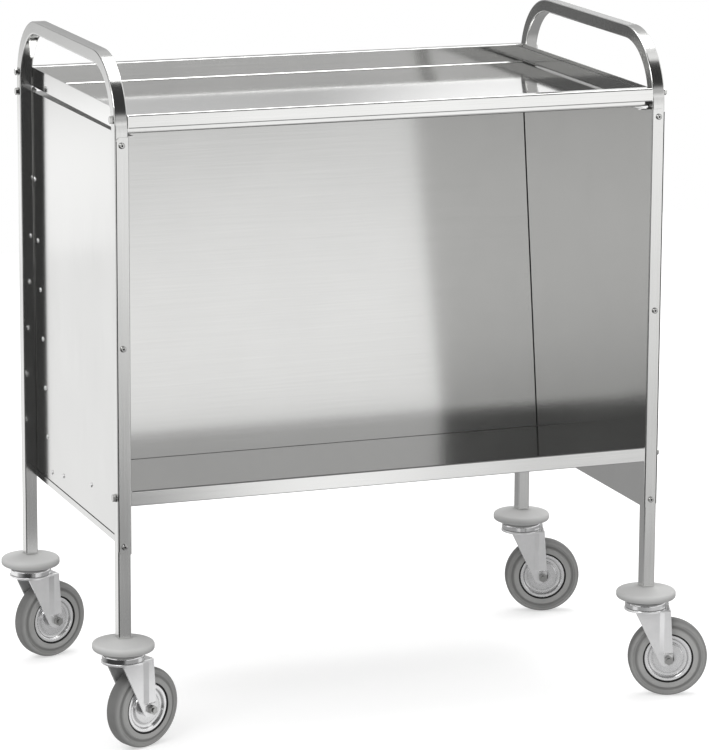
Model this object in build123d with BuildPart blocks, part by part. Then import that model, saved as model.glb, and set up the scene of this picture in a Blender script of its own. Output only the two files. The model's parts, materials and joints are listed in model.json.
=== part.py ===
from build123d import *
from math import atan2, cos, radians, sin, tan
import os

# Plate trolley in stainless steel, millimetres, +Z up, standing on the floor plane z = 0.
# +X runs along the long front and the open plate bay faces -Y.
# The origin lies on the floor, midway between the four legs.

os.makedirs("parts", exist_ok=True)

# Tube frame: two hoops of square tube, one at each end
tube_side = 20.0
tube_wall = 1.5
tube_corner_radius = 2.0
leg_spacing_x = 860.0
leg_spacing_y = 510.0
handle_rise = 84.0
handle_bend_radius = 100.0

# Sheet metal of the tray, the shelf and the three panels
sheet = 1.2
bend_radius = 2.0

# Drilled holes run this far past the metal on both sides
drill_margin = 2.0

# Top tray
tray_rim_height = 971.0
tray_depth = 29.0
tray_rim_width = 17.0
tray_fold_height = 20.0
tray_hem_height = 5.0

# Tilt shared by the back panel, from upright, and the shelf, from level
plate_tilt = 8.3

# Shelf
shelf_front_height = 405.2
shelf_front_flange = 22.7
shelf_end_flange = 20.0
shelf_end_flange_relief = 6.0
shelf_rear_flange = 18.0

# Back panel
back_top_setback = 14.5
back_top_drop = 21.0
back_top_flange = 9.0
back_end_flange = 14.0
back_end_flange_drop = 48.0
back_tail = 24.0

# Side panels
panel_tray_gap = 2.2
panel_front_edge_drop = 2.4
panel_rear_edge_drop = 6.2
panel_bottom_height = 308.5
panel_flange_width = 19.5
panel_flange_chamfer = 5.0
panel_top_fold = 15.0
panel_hem_height = 10.0
panel_hem_clearance = 0.6

# Hexagon bolts through the legs
bolt_diameter = 6.0
bolt_hole_diameter = 6.6
bolt_flats = 10.0
bolt_head_height = 4.0
bolt_spare_length = 2.5
washer_diameter = 12.5
washer_thickness = 1.4
nut_height = 5.0
tray_bolt_drop = 7.4
shelf_bolt_drop = 9.0
panel_bolt_drop = 6.5

# Button-head screws in the folded flanges, and their inserts in the legs
screw_diameter = 5.0
screw_hole_diameter = 5.5
screw_head_diameter = 9.5
screw_head_height = 2.6
screw_head_rounding = 1.8
screw_socket_flats = 3.0
screw_socket_depth = 1.5
screw_length = 14.0
screw_top_drop = 12.0
screw_middle_rise = 314.3
screw_bottom_rise = 12.0
insert_diameter = 7.0
insert_length = 11.0
insert_bulge_diameter = 9.4
insert_bulge_length = 3.0

# Blind rivets. Heights up the back count from the corner with the shelf, the highest from its top edge.
rivet_diameter = 4.0
rivet_head_diameter = 8.0
rivet_head_height = 1.5
rivet_head_taper = 40.0
rivet_tail_diameter = 6.0
rivet_tail_height = 2.2
shelf_rivet_setback = 9.0
back_rivet_setback = 6.0
back_rivet_first_rise = 46.5
back_rivet_row_count = 5
back_rivet_last_step = 97.0
back_rivet_top_drop = 125.2
shelf_rivet_distances = (10.5, 75.0, 229.0)
shelf_rear_rivet_count = 6
shelf_rear_rivet_pitch = 150.0

# Tyre
wheel_radius = 62.5
tyre_half_width = 14.3
tread_half_width = 6.0
tyre_bore_radius = 38.3
tyre_recess_radius = 40.1
tyre_seat_half_width = 9.5
tyre_flat_radius = 47.5
tyre_cove_radius = 51.5
tyre_cove_depth = 3.2
tyre_shoulder_radius = 56.0
tyre_shoulder_step = 1.2
tyre_round_radius = 60.5
tyre_round_half_width = 10.7

# Rim discs
rim_sheet = 1.5
rim_bend_radius = 2.0
rim_lip_half_width = 13.0
rim_lip_inner_radius = 33.0
rim_groove_radius = 27.5
rim_groove_flat = 2.0
rim_groove_half_width = 9.0
rim_web_radius = 23.5
rim_web_half_width = 12.2
rim_half_play = 0.1

# Hub and axle
hub_radius = 9.0
hub_play = 0.06
thrust_play = 0.3
sleeve_radius = 6.0
axle_radius = 4.0
axle_hole_play = 0.1
axle_nut_flats = 13.0
axle_nut_height = 6.5
axle_head_height = 5.3
axle_spare_length = 2.5

# Castor fork
crown_clearance = 15.3
crown_thickness = 4.0
crown_radius = 33.5
crown_edge_radius = 1.8
crown_rear_reach = 38.0
crown_corner_radius = 3.0
fork_sheet = 2.5
fork_half_gap = 19.0
fork_trail = 36.0
fork_front_reach = -20.0
fork_rear_reach = 37.5
fork_eye_centre = 32.0
fork_eye_radius = 11.0
fork_blank_reach = 60.0
fork_flare = 4.5
flare_seed = 0.2
flare_start = 21.0
flare_run = 7.0
flare_bottom_rise = 8.5
flare_end_rise = 4.0
lug_width = 12.0
lug_height = 6.5
lug_thickness = 2.5

# Castor head: balls, upper race, kingpin and stem
ball_radius = 4.0
ball_circle_radius = 23.5
ball_count = 16
race_gap = 0.3
race_sheet = 2.4
race_radius = 32.5
race_skirt_gap = 0.7
race_shoulder = 4.0
kingpin_radius = 6.0
kingpin_play = 0.08
kingpin_head_radius = 11.0
kingpin_head_height = 5.0
kingpin_head_chamfer = 1.5
kingpin_head_gap = 0.3
stem_radius = 8.0
stem_play = 0.05
stem_collar_radius = 10.5
stem_collar_height = 3.0
stem_thread_radius = 5.0
stem_thread_length = 46.0
plug_height = 52.0
plug_corner_radius = 1.0
plug_play = 0.05

# Bumper disc between each leg and its castor
bumper_thickness = 23.0
bumper_radius = 47.0
bumper_seat_radius = 15.0
bumper_edge_top_drop = 7.0
bumper_edge_bottom_rise = 5.5
bumper_bottom_radius = 30.0
bumper_rounding = 4.5

# Castors: name, side in X, side in Y, and the heading in which the wheel trails
castor_places = (
    ("front_left", -1, -1, 22.7),
    ("rear_left", -1, 1, 18.2),
    ("rear_right", 1, 1, -17.2),
    ("front_right", 1, -1, -19.1),
)

# Places that follow from the sizes above
handle_top_height = tray_rim_height + handle_rise
leg_x = leg_spacing_x / 2
leg_y = leg_spacing_y / 2
half_tube = tube_side / 2
hoop_inner_x = leg_x - half_tube
hoop_outer_x = leg_x + half_tube
frame_face_y = leg_y + half_tube
panel_inner_x = hoop_inner_x - sheet
end_flange_inner_x = panel_inner_x - sheet
crown_bottom = 2 * wheel_radius + crown_clearance
crown_top = crown_bottom + crown_thickness
ball_centre_height = crown_top + ball_radius
race_underside = ball_centre_height + ball_radius + race_gap
bumper_bottom = race_underside + race_sheet
leg_foot_height = bumper_bottom + bumper_thickness
flare_bottom = wheel_radius + flare_bottom_rise
tray_floor_height = tray_rim_height - tray_depth
panel_top_height = tray_floor_height - sheet - panel_tray_gap
back_top_height = panel_top_height - back_top_drop
sheet_drill = 2 * (sheet + drill_margin)
wall_drill = 2 * (tube_wall + drill_margin)
tube_drill = tube_side + 2 * drill_margin
fork_drill = 2 * (fork_half_gap + fork_sheet + fork_flare + drill_margin)

# Corner line where the shelf's top face meets the back panel's front face
tilt = radians(plate_tilt)
back_top_y = frame_face_y - back_top_setback
back_rise = back_top_height - shelf_front_height
shelf_length = (back_top_y + frame_face_y) * cos(tilt) - back_rise * sin(tilt)
corner_y = -frame_face_y + shelf_length * cos(tilt)
corner_z = shelf_front_height - shelf_length * sin(tilt)
back_length = (back_top_height - corner_z) / cos(tilt)


def tilted(along_shelf, up_back):
    """Y and Z of a point, measured forward along the shelf and up along the back panel from the corner."""
    y = corner_y - along_shelf * cos(tilt) + up_back * sin(tilt)
    z = corner_z + along_shelf * sin(tilt) + up_back * cos(tilt)
    return (y, z)


def bolt_rows():
    """Y, Z and inner clamped face of each hexagon bolt at one end of the trolley."""
    tray_z = tray_rim_height - tray_bolt_drop
    shelf_z = shelf_front_height - half_tube * tan(tilt) - shelf_bolt_drop
    return (
        (-leg_y, tray_z, panel_inner_x),
        (leg_y, tray_z, panel_inner_x),
        (-leg_y, shelf_z, end_flange_inner_x),
        (leg_y, panel_top_height - panel_bolt_drop, panel_inner_x),
    )


def screw_rows():
    """Side in Y and height of each flange screw at one end of the trolley."""
    low = panel_bottom_height + screw_bottom_rise
    middle = panel_bottom_height + screw_middle_rise
    high = panel_top_height - screw_top_drop
    return ((-1, low), (-1, middle), (-1, high), (1, low), (1, middle))


def side_rivet_points():
    """Y and Z of each rivet that joins a side panel to the back panel and to the shelf."""
    highest = back_length - back_rivet_top_drop
    pitch = (highest - back_rivet_last_step - back_rivet_first_rise) / (back_rivet_row_count - 1)
    rises = [back_rivet_first_rise + index * pitch for index in range(back_rivet_row_count)] + [highest]
    back = [tilted(-back_rivet_setback, rise) for rise in rises]
    shelf = [tilted(distance, -shelf_rivet_setback) for distance in shelf_rivet_distances]
    return back + shelf


def shelf_rear_rivet_xs():
    """X of each rivet between the shelf's rear flange and the back panel."""
    first = -shelf_rear_rivet_pitch * (shelf_rear_rivet_count - 1) / 2
    return [first + index * shelf_rear_rivet_pitch for index in range(shelf_rear_rivet_count)]


def across(y, z):
    """Place at a point of the YZ plane, with the local Z axis along +X."""
    return Location(Plane(origin=(0, y, z), x_dir=(0, 1, 0), z_dir=(1, 0, 0)))


def facing_y(y, z, y_side):
    """Plane on the centre line of the right legs, facing away from the trolley's middle in Y."""
    return Plane(origin=(leg_x, y, z), x_dir=(1, 0, 0), z_dir=(0, y_side, 0))


def export_piece(piece, name):
    """Label a finished piece and write it as its own file."""
    piece.label = name
    export_step(piece, "parts/" + name + ".step")


# Hoops: each is one length of square tube bent into an upside-down U.
# The level top is the push handle and the two straight runs are the legs.
def hoop_at(x_centre):
    with BuildPart() as hoop:
        with BuildLine(Plane.YZ.offset(x_centre)) as hoop_path:
            FilletPolyline(
                (-leg_y, leg_foot_height),
                (-leg_y, handle_top_height - half_tube),
                (leg_y, handle_top_height - half_tube),
                (leg_y, leg_foot_height),
                radius=handle_bend_radius,
            )
        with BuildSketch(Plane((x_centre, -leg_y, leg_foot_height), x_dir=(1, 0, 0), z_dir=(0, 0, 1))):
            RectangleRounded(tube_side, tube_side, tube_corner_radius)
            bore_side = tube_side - 2 * tube_wall
            bore_radius = tube_corner_radius - tube_wall
            RectangleRounded(bore_side, bore_side, bore_radius, mode=Mode.SUBTRACT)
        sweep(path=hoop_path.wires()[0])
        for y, z, _ in bolt_rows():
            with Locations(Location((x_centre, 0, 0)) * across(y, z)):
                Cylinder(bolt_hole_diameter / 2, tube_drill, mode=Mode.SUBTRACT)
        for side, z in screw_rows():
            with Locations(Location((x_centre, side * frame_face_y, z), (90, 0, 0))):
                Cylinder(insert_diameter / 2, wall_drill, mode=Mode.SUBTRACT)
    return hoop


left_hoop = hoop_at(-leg_x)
export_piece(left_hoop.part, "left_hoop")
right_hoop = hoop_at(leg_x)
export_piece(right_hoop.part, "right_hoop")


# Top tray: one sheet folded into a shallow basin.
# The long sides are turned out and down into a box rim, the ends stand against the hoops.
with BuildPart() as top_tray:
    basin_y = frame_face_y - tray_rim_width
    fold_bottom = tray_rim_height - tray_fold_height
    with BuildSketch(Plane.YZ):
        with BuildLine():
            FilletPolyline(
                (-frame_face_y, fold_bottom),
                (-frame_face_y, tray_rim_height),
                (-basin_y, tray_rim_height),
                (-basin_y, tray_floor_height),
                (basin_y, tray_floor_height),
                (basin_y, tray_rim_height),
                (frame_face_y, tray_rim_height),
                (frame_face_y, fold_bottom),
                radius=bend_radius,
            )
            offset(amount=sheet, side=Side.RIGHT, kind=Kind.INTERSECTION)
        make_face()
    extrude(amount=panel_inner_x, both=True)
    for side in (-1, 1):
        # End wall, closing the basin and the ends of both box rims
        with BuildSketch(Plane.YZ.offset(side * panel_inner_x)):
            with BuildLine():
                Polyline(
                    (-frame_face_y, fold_bottom),
                    (-frame_face_y, tray_rim_height - bend_radius),
                    (-frame_face_y + bend_radius, tray_rim_height),
                    (frame_face_y - bend_radius, tray_rim_height),
                    (frame_face_y, tray_rim_height - bend_radius),
                    (frame_face_y, fold_bottom),
                    (basin_y + sheet, fold_bottom),
                    (basin_y + sheet, tray_floor_height + bend_radius),
                    (basin_y - bend_radius, tray_floor_height - sheet),
                    (-basin_y + bend_radius, tray_floor_height - sheet),
                    (-basin_y - sheet, tray_floor_height + bend_radius),
                    (-basin_y - sheet, fold_bottom),
                    close=True,
                )
            make_face()
        extrude(amount=side * sheet)
        # Hem along the top edge of the end wall, folded to the inside
        with Locations((side * (panel_inner_x - sheet / 2), 0, tray_rim_height - tray_hem_height / 2)):
            Box(sheet, 2 * basin_y - 2 * bend_radius, tray_hem_height)
    for side in (-1, 1):
        for end in (-1, 1):
            with Locations(Location((end * hoop_inner_x, 0, 0)) * across(side * leg_y, bolt_rows()[0][1])):
                Cylinder(bolt_hole_diameter / 2, sheet_drill, mode=Mode.SUBTRACT)
export_piece(top_tray.part, "top_tray")


# Shelf: slopes down to the rear so that stacked plates lean back.
# Front edge turned down upright, rear edge turned down along the back panel, end edges turned down.
with BuildPart() as bottom_shelf:
    with BuildSketch(Plane.YZ):
        with BuildLine():
            FilletPolyline(
                tilted(0, -shelf_rear_flange),
                tilted(0, 0),
                (-frame_face_y, shelf_front_height),
                (-frame_face_y, shelf_front_height - shelf_front_flange),
                radius=bend_radius,
            )
            offset(amount=sheet, side=Side.LEFT, kind=Kind.INTERSECTION)
        make_face()
    extrude(amount=panel_inner_x, both=True)
    for side in (-1, 1):
        with BuildSketch(Plane.YZ.offset(side * end_flange_inner_x)):
            with BuildLine():
                Polyline(
                    tilted(bend_radius, -sheet / 2),
                    tilted(shelf_length - bend_radius, -sheet / 2),
                    tilted(shelf_length - shelf_end_flange_relief, -shelf_end_flange),
                    tilted(bend_radius, -shelf_end_flange),
                    close=True,
                )
            make_face()
        extrude(amount=side * sheet)
        shelf_bolt = bolt_rows()[2]
        with Locations(Location((side * panel_inner_x, 0, 0)) * across(shelf_bolt[0], shelf_bolt[1])):
            Cylinder(bolt_hole_diameter / 2, sheet_drill, mode=Mode.SUBTRACT)
        for y, z in side_rivet_points():
            with Locations(Location((side * panel_inner_x, 0, 0)) * across(y, z)):
                Cylinder(rivet_diameter / 2, sheet_drill, mode=Mode.SUBTRACT)
    rear_y, rear_z = tilted(0, -shelf_rivet_setback)
    for x in shelf_rear_rivet_xs():
        with Locations(Location((x, rear_y, rear_z), (90 - plate_tilt, 0, 0))):
            Cylinder(rivet_diameter / 2, sheet_drill, mode=Mode.SUBTRACT)
export_piece(bottom_shelf.part, "bottom_shelf")


# Back panel: leans back at a right angle to the shelf.
# Its top edge and both ends are turned to the rear, the ends are riveted to the side panels.
with BuildPart() as back_panel:
    with BuildSketch(Plane.YZ):
        with BuildLine():
            FilletPolyline(
                tilted(0, -back_tail),
                tilted(0, back_length),
                tilted(-back_top_flange, back_length),
                radius=bend_radius,
            )
            offset(amount=sheet, side=Side.RIGHT, kind=Kind.INTERSECTION)
        make_face()
    extrude(amount=panel_inner_x, both=True)
    for side in (-1, 1):
        with BuildSketch(Plane.YZ.offset(side * end_flange_inner_x)):
            with BuildLine():
                Polyline(
                    tilted(-sheet / 2, -back_tail),
                    tilted(-sheet / 2, back_length - back_end_flange_drop),
                    tilted(-back_end_flange, back_length - back_end_flange_drop),
                    tilted(-back_end_flange, -back_tail),
                    close=True,
                )
            make_face()
        extrude(amount=side * sheet)
        for y, z in side_rivet_points():
            with Locations(Location((side * panel_inner_x, 0, 0)) * across(y, z)):
                Cylinder(rivet_diameter / 2, sheet_drill, mode=Mode.SUBTRACT)
    for x in shelf_rear_rivet_xs():
        with Locations(Location((x, rear_y, rear_z), (90 - plate_tilt, 0, 0))):
            Cylinder(rivet_diameter / 2, sheet_drill, mode=Mode.SUBTRACT)
export_piece(back_panel.part, "back_panel")


# Side panels: stand on the inner side of the legs, their long edges are folded round the legs.
# Between the legs the bottom edge is hemmed to the outside and the top edge is turned in level.
def side_panel_at(side):
    with BuildPart() as panel:
        flange_end_x = hoop_inner_x + panel_flange_width
        outer_y = frame_face_y + sheet
        with BuildSketch(Plane.XY.offset(panel_bottom_height)):
            with BuildLine():
                FilletPolyline(
                    (flange_end_x, -outer_y),
                    (panel_inner_x, -outer_y),
                    (panel_inner_x, outer_y),
                    (flange_end_x, outer_y),
                    radius=bend_radius,
                )
                offset(amount=sheet, side=Side.RIGHT, kind=Kind.INTERSECTION)
            make_face()
        extrude(amount=panel_top_height - panel_bottom_height)
        free_edges = panel.edges().filter_by(Axis.Y).group_by(Axis.X)[-1]
        chamfer(free_edges, panel_flange_chamfer)
        hem_half = leg_y - half_tube - panel_hem_clearance
        with Locations((hoop_inner_x + sheet / 2, 0, panel_bottom_height + panel_hem_height / 2)):
            Box(sheet, 2 * hem_half, panel_hem_height)
        # Between the legs the top edge is cut back, a little more towards the rear
        front_edge = panel_top_height - panel_front_edge_drop
        rear_edge = panel_top_height - panel_rear_edge_drop
        with BuildSketch(Plane.YZ.offset(hoop_inner_x)):
            with BuildLine():
                Polyline(
                    (-hem_half, front_edge),
                    (hem_half, rear_edge),
                    (hem_half, panel_top_height + drill_margin),
                    (-hem_half, panel_top_height + drill_margin),
                    close=True,
                )
            make_face()
        extrude(amount=sheet + drill_margin, both=True, mode=Mode.SUBTRACT)
        # Top fold, turned in over the plate bay
        with BuildSketch(Plane.YZ.offset(hoop_inner_x)):
            with BuildLine():
                Polyline(
                    (-hem_half, front_edge - sheet),
                    (-hem_half, front_edge),
                    (hem_half, rear_edge),
                    (hem_half, rear_edge - sheet),
                    close=True,
                )
            make_face()
        extrude(amount=-panel_top_fold)
        for y, z, _ in bolt_rows()[2:]:
            with Locations(Location((hoop_inner_x, 0, 0)) * across(y, z)):
                Cylinder(bolt_hole_diameter / 2, sheet_drill, mode=Mode.SUBTRACT)
        for y, z in side_rivet_points():
            with Locations(Location((hoop_inner_x, 0, 0)) * across(y, z)):
                Cylinder(rivet_diameter / 2, sheet_drill, mode=Mode.SUBTRACT)
        for y_side, z in screw_rows():
            with Locations(Location((leg_x, y_side * frame_face_y, z), (90, 0, 0))):
                Cylinder(screw_hole_diameter / 2, sheet_drill, mode=Mode.SUBTRACT)
        if side < 0:
            mirror(about=Plane.YZ, mode=Mode.REPLACE)
    return panel


left_side_panel = side_panel_at(-1)
export_piece(left_side_panel.part, "left_side_panel")
right_side_panel = side_panel_at(1)
export_piece(right_side_panel.part, "right_side_panel")


# Hexagon bolts: head and washer outside each leg, nut inside on the last clamped sheet
with BuildPart() as hex_bolts:
    for y, z, clamped_x in bolt_rows():
        head_x = hoop_outer_x + washer_thickness
        tip_x = clamped_x - nut_height - bolt_spare_length
        with BuildSketch(Plane(origin=(head_x, y, z), x_dir=(0, 1, 0), z_dir=(1, 0, 0))):
            RegularPolygon(bolt_flats / 2, 6, major_radius=False, rotation=30)
        extrude(amount=bolt_head_height)
        with BuildSketch(Plane(origin=(tip_x, y, z), x_dir=(0, 1, 0), z_dir=(1, 0, 0))):
            Circle(bolt_diameter / 2)
        extrude(amount=head_x - tip_x)
    mirror(about=Plane.YZ)
export_piece(hex_bolts.part, "hex_bolts")

with BuildPart() as hex_washers:
    for y, z, _ in bolt_rows():
        with BuildSketch(Plane(origin=(hoop_outer_x, y, z), x_dir=(0, 1, 0), z_dir=(1, 0, 0))):
            Circle(washer_diameter / 2)
            Circle(bolt_hole_diameter / 2, mode=Mode.SUBTRACT)
        extrude(amount=washer_thickness)
    mirror(about=Plane.YZ)
export_piece(hex_washers.part, "hex_washers")

with BuildPart() as hex_nuts:
    for y, z, clamped_x in bolt_rows():
        with BuildSketch(Plane(origin=(clamped_x, y, z), x_dir=(0, 1, 0), z_dir=(1, 0, 0))):
            RegularPolygon(bolt_flats / 2, 6, major_radius=False, rotation=30)
            Circle(bolt_diameter / 2, mode=Mode.SUBTRACT)
        extrude(amount=-nut_height)
    mirror(about=Plane.YZ)
export_piece(hex_nuts.part, "hex_nuts")


# Button-head screws with a hexagon socket, through the folded flanges into the legs
with BuildPart() as flange_screws:
    flange_face_y = frame_face_y + sheet
    for y_side, z in screw_rows():
        screw_plane = facing_y(y_side * flange_face_y, z, y_side)
        with BuildSketch(screw_plane):
            Circle(screw_head_diameter / 2)
        extrude(amount=screw_head_height)
        with BuildSketch(screw_plane):
            Circle(screw_diameter / 2)
        extrude(amount=-screw_length)
    head_edges = flange_screws.edges().filter_by(GeomType.CIRCLE).group_by(Axis.Y)
    fillet(head_edges[0] + head_edges[-1], screw_head_rounding)
    for y_side, z in screw_rows():
        with BuildSketch(facing_y(y_side * (flange_face_y + screw_head_height), z, y_side)):
            RegularPolygon(screw_socket_flats / 2, 6, major_radius=False)
        extrude(amount=-screw_socket_depth, mode=Mode.SUBTRACT)
    mirror(about=Plane.YZ)
export_piece(flange_screws.part, "flange_screws")

# Threaded inserts, swaged in the leg wall behind each flange screw
with BuildPart() as leg_inserts:
    for y_side, z in screw_rows():
        with BuildSketch(facing_y(y_side * frame_face_y, z, y_side)):
            Circle(insert_diameter / 2)
        extrude(amount=-insert_length)
        with BuildSketch(facing_y(y_side * (frame_face_y - tube_wall), z, y_side)):
            Circle(insert_bulge_diameter / 2)
        extrude(amount=-insert_bulge_length)
        with BuildSketch(facing_y(y_side * frame_face_y, z, y_side)):
            Circle(screw_diameter / 2)
        extrude(amount=-insert_length, mode=Mode.SUBTRACT)
    mirror(about=Plane.YZ)
export_piece(leg_inserts.part, "leg_inserts")


# Blind rivets: domed head outside the side panel, swollen tail inside on the folded flange
with BuildPart() as side_rivets:
    grip = hoop_inner_x - end_flange_inner_x
    for y, z in side_rivet_points():
        with BuildSketch(Plane(origin=(hoop_inner_x, y, z), x_dir=(0, 1, 0), z_dir=(1, 0, 0))):
            Circle(rivet_head_diameter / 2)
        extrude(amount=rivet_head_height, taper=rivet_head_taper)
        with BuildSketch(Plane(origin=(hoop_inner_x, y, z), x_dir=(0, 1, 0), z_dir=(1, 0, 0))):
            Circle(rivet_diameter / 2)
        extrude(amount=-grip)
        with BuildSketch(Plane(origin=(end_flange_inner_x, y, z), x_dir=(0, 1, 0), z_dir=(1, 0, 0))):
            Circle(rivet_tail_diameter / 2)
        extrude(amount=-rivet_tail_height)
    mirror(about=Plane.YZ)
export_piece(side_rivets.part, "side_rivets")

with BuildPart() as shelf_rear_rivets:
    to_rear = (0, cos(tilt), -sin(tilt))
    to_front = (0, -cos(tilt), sin(tilt))
    front_y, front_z = tilted(sheet, -shelf_rivet_setback)
    tail_y, tail_z = tilted(-sheet, -shelf_rivet_setback)
    for x in shelf_rear_rivet_xs():
        with BuildSketch(Plane(origin=(x, front_y, front_z), x_dir=(1, 0, 0), z_dir=to_front)):
            Circle(rivet_head_diameter / 2)
        extrude(amount=rivet_head_height, taper=rivet_head_taper)
        with BuildSketch(Plane(origin=(x, front_y, front_z), x_dir=(1, 0, 0), z_dir=to_rear)):
            Circle(rivet_diameter / 2)
        extrude(amount=2 * sheet)
        with BuildSketch(Plane(origin=(x, tail_y, tail_z), x_dir=(1, 0, 0), z_dir=to_rear)):
            Circle(rivet_tail_diameter / 2)
        extrude(amount=rivet_tail_height)
export_piece(shelf_rear_rivets.part, "shelf_rear_rivets")


# Castor pieces are drawn once on the swivel axis, with the wheel trailing along +X

# Bumper: thick soft disc with a rounded upright edge, on the castor stem under the leg
with BuildPart() as bumper:
    with BuildSketch(Plane.XZ):
        with BuildLine():
            bore = stem_radius + stem_play
            Polyline(
                (bumper_bottom_radius, bumper_bottom),
                (bore, bumper_bottom),
                (bore, leg_foot_height),
                (bumper_seat_radius, leg_foot_height),
            )
            FilletPolyline(
                (bumper_seat_radius, leg_foot_height),
                (bumper_radius, leg_foot_height - bumper_edge_top_drop),
                (bumper_radius, bumper_bottom + bumper_edge_bottom_rise),
                (bumper_bottom_radius, bumper_bottom),
                radius=bumper_rounding,
            )
        make_face()
    revolve(axis=Axis.Z)

# Leg plug: square block pressed in the leg's end, threaded for the castor stem
with BuildPart() as leg_plug:
    with BuildSketch(Plane.XY.offset(leg_foot_height)):
        plug_side = tube_side - 2 * tube_wall - 2 * plug_play
        RectangleRounded(plug_side, plug_side, plug_corner_radius)
        Circle(stem_thread_radius, mode=Mode.SUBTRACT)
    extrude(amount=plug_height)

# Stem: kingpin head, kingpin, shaft with the collar that carries the upper race, and thread
with BuildPart() as stem:
    with BuildSketch(Plane.XZ):
        with BuildLine():
            head_top = crown_bottom - kingpin_head_gap
            head_bottom = head_top - kingpin_head_height
            shaft_bottom = crown_top + kingpin_head_gap
            collar_bottom = race_underside - stem_collar_height
            thread_top = leg_foot_height + stem_thread_length
            Polyline(
                (0, head_bottom),
                (kingpin_head_radius - kingpin_head_chamfer, head_bottom),
                (kingpin_head_radius, head_bottom + kingpin_head_chamfer),
                (kingpin_head_radius, head_top),
                (kingpin_radius, head_top),
                (kingpin_radius, shaft_bottom),
                (stem_radius, shaft_bottom),
                (stem_radius, collar_bottom),
                (stem_collar_radius, collar_bottom),
                (stem_collar_radius, race_underside),
                (stem_radius, race_underside),
                (stem_radius, leg_foot_height),
                (stem_thread_radius, leg_foot_height),
                (stem_thread_radius, thread_top),
                (0, thread_top),
                close=True,
            )
        make_face()
    revolve(axis=Axis.Z)

# Upper race: pressed cup over the balls, held between the stem collar and the bumper
with BuildPart() as upper_race:
    with BuildSketch(Plane.XZ):
        with BuildLine():
            skirt_bottom = crown_top + race_skirt_gap
            FilletPolyline(
                (stem_radius + stem_play, bumper_bottom),
                (race_radius, bumper_bottom),
                (race_radius, skirt_bottom),
                radius=race_shoulder,
            )
            offset(amount=race_sheet, side=Side.RIGHT, kind=Kind.INTERSECTION)
        make_face()
    revolve(axis=Axis.Z)

# Ball ring between the upper race and the fork crown
with BuildPart() as race_balls:
    with Locations((0, 0, ball_centre_height)):
        with PolarLocations(ball_circle_radius, ball_count):
            Sphere(ball_radius)


def leg_outline(flare):
    """Corners of one fork leg, cut level, with its trailing part pressed out by the flare."""
    inner = fork_half_gap
    outer = fork_half_gap + fork_sheet
    crease_shift = fork_sheet * tan(atan2(flare, flare_run) / 2)
    flare_end = flare_start + flare_run
    return (
        (-crown_radius, outer),
        (flare_start, outer),
        (flare_end, outer + flare),
        (fork_blank_reach, outer + flare),
        (fork_blank_reach, inner + flare),
        (flare_end + crease_shift, inner + flare),
        (flare_start + crease_shift, inner),
        (-crown_radius, inner),
    )


# Fork: crown plate with a bent-up lug, and two legs pressed out along their trailing edges
with BuildPart() as fork:
    fork_bottom = wheel_radius - fork_eye_radius
    flare_top = flare_bottom + flare_end_rise
    with BuildSketch(Plane.XY.offset(fork_bottom)):
        with BuildLine():
            Polyline(*leg_outline(flare_seed), close=True)
        make_face()
    extrude(amount=flare_bottom - fork_bottom)
    for z, flare in ((flare_bottom, flare_seed), (flare_top, fork_flare)):
        with BuildSketch(Plane.XY.offset(z)):
            with BuildLine():
                Polyline(*leg_outline(flare), close=True)
            make_face()
    loft(ruled=True)
    with BuildSketch(Plane.XY.offset(flare_top)):
        with BuildLine():
            Polyline(*leg_outline(fork_flare), close=True)
        make_face()
    extrude(amount=crown_top - flare_top)
    mirror(about=Plane.XZ)
    # Side outline of the legs: tapers from the crown to the eye round the axle
    with BuildSketch(Plane.XZ):
        with BuildLine():
            Line((fork_front_reach, crown_top), (fork_rear_reach, crown_top))
            CenterArc((fork_eye_centre, wheel_radius), fork_eye_radius, 0, 360)
        make_hull()
    extrude(amount=crown_radius, both=True, mode=Mode.INTERSECT)
    with BuildSketch(Plane.XY.offset(crown_bottom)):
        crown_half_width = fork_half_gap + fork_sheet + fork_flare
        Circle(crown_radius)
        with Locations((crown_rear_reach / 2, 0)):
            RectangleRounded(crown_rear_reach, 2 * crown_half_width, crown_corner_radius)
        Circle(kingpin_radius + kingpin_play, mode=Mode.SUBTRACT)
    extrude(amount=crown_thickness)
    crown_face = fork.faces().sort_by(Axis.Z)[-1]
    fillet(crown_face.outer_wire().edges(), crown_edge_radius)
    lug_x = crown_rear_reach - crown_edge_radius - lug_thickness / 2
    with Locations((lug_x, 0, crown_top + lug_height / 2)):
        Box(lug_thickness, lug_width, lug_height)
    with Locations(Location((fork_trail, 0, wheel_radius), (90, 0, 0))):
        Cylinder(axle_radius + axle_hole_play, fork_drill, mode=Mode.SUBTRACT)


# Wheel pieces are turned round the Y axis, their profiles give radius along X and width along Y

# Tyre: solid rubber with a rounded tread, a cove in each side and a recess round the rim lips
with BuildPart() as tyre:
    with BuildSketch(Plane.XY):
        with BuildLine():
            cove_width = tyre_half_width - tyre_cove_depth
            shoulder_width = tyre_half_width - tyre_shoulder_step
            Polyline(
                (tyre_bore_radius, 0),
                (tyre_bore_radius, tyre_seat_half_width),
                (tyre_recess_radius, tyre_seat_half_width),
                (tyre_recess_radius, tyre_half_width),
                (tyre_flat_radius, tyre_half_width),
            )
            ThreePointArc(
                (tyre_flat_radius, tyre_half_width),
                (tyre_cove_radius, cove_width),
                (tyre_shoulder_radius, shoulder_width),
            )
            ThreePointArc(
                (tyre_shoulder_radius, shoulder_width),
                (tyre_round_radius, tyre_round_half_width),
                (wheel_radius, tread_half_width),
            )
            Line((wheel_radius, tread_half_width), (wheel_radius, 0))
            mirror(about=Plane.XZ)
        make_face()
    revolve(axis=Axis.Y)

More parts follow.
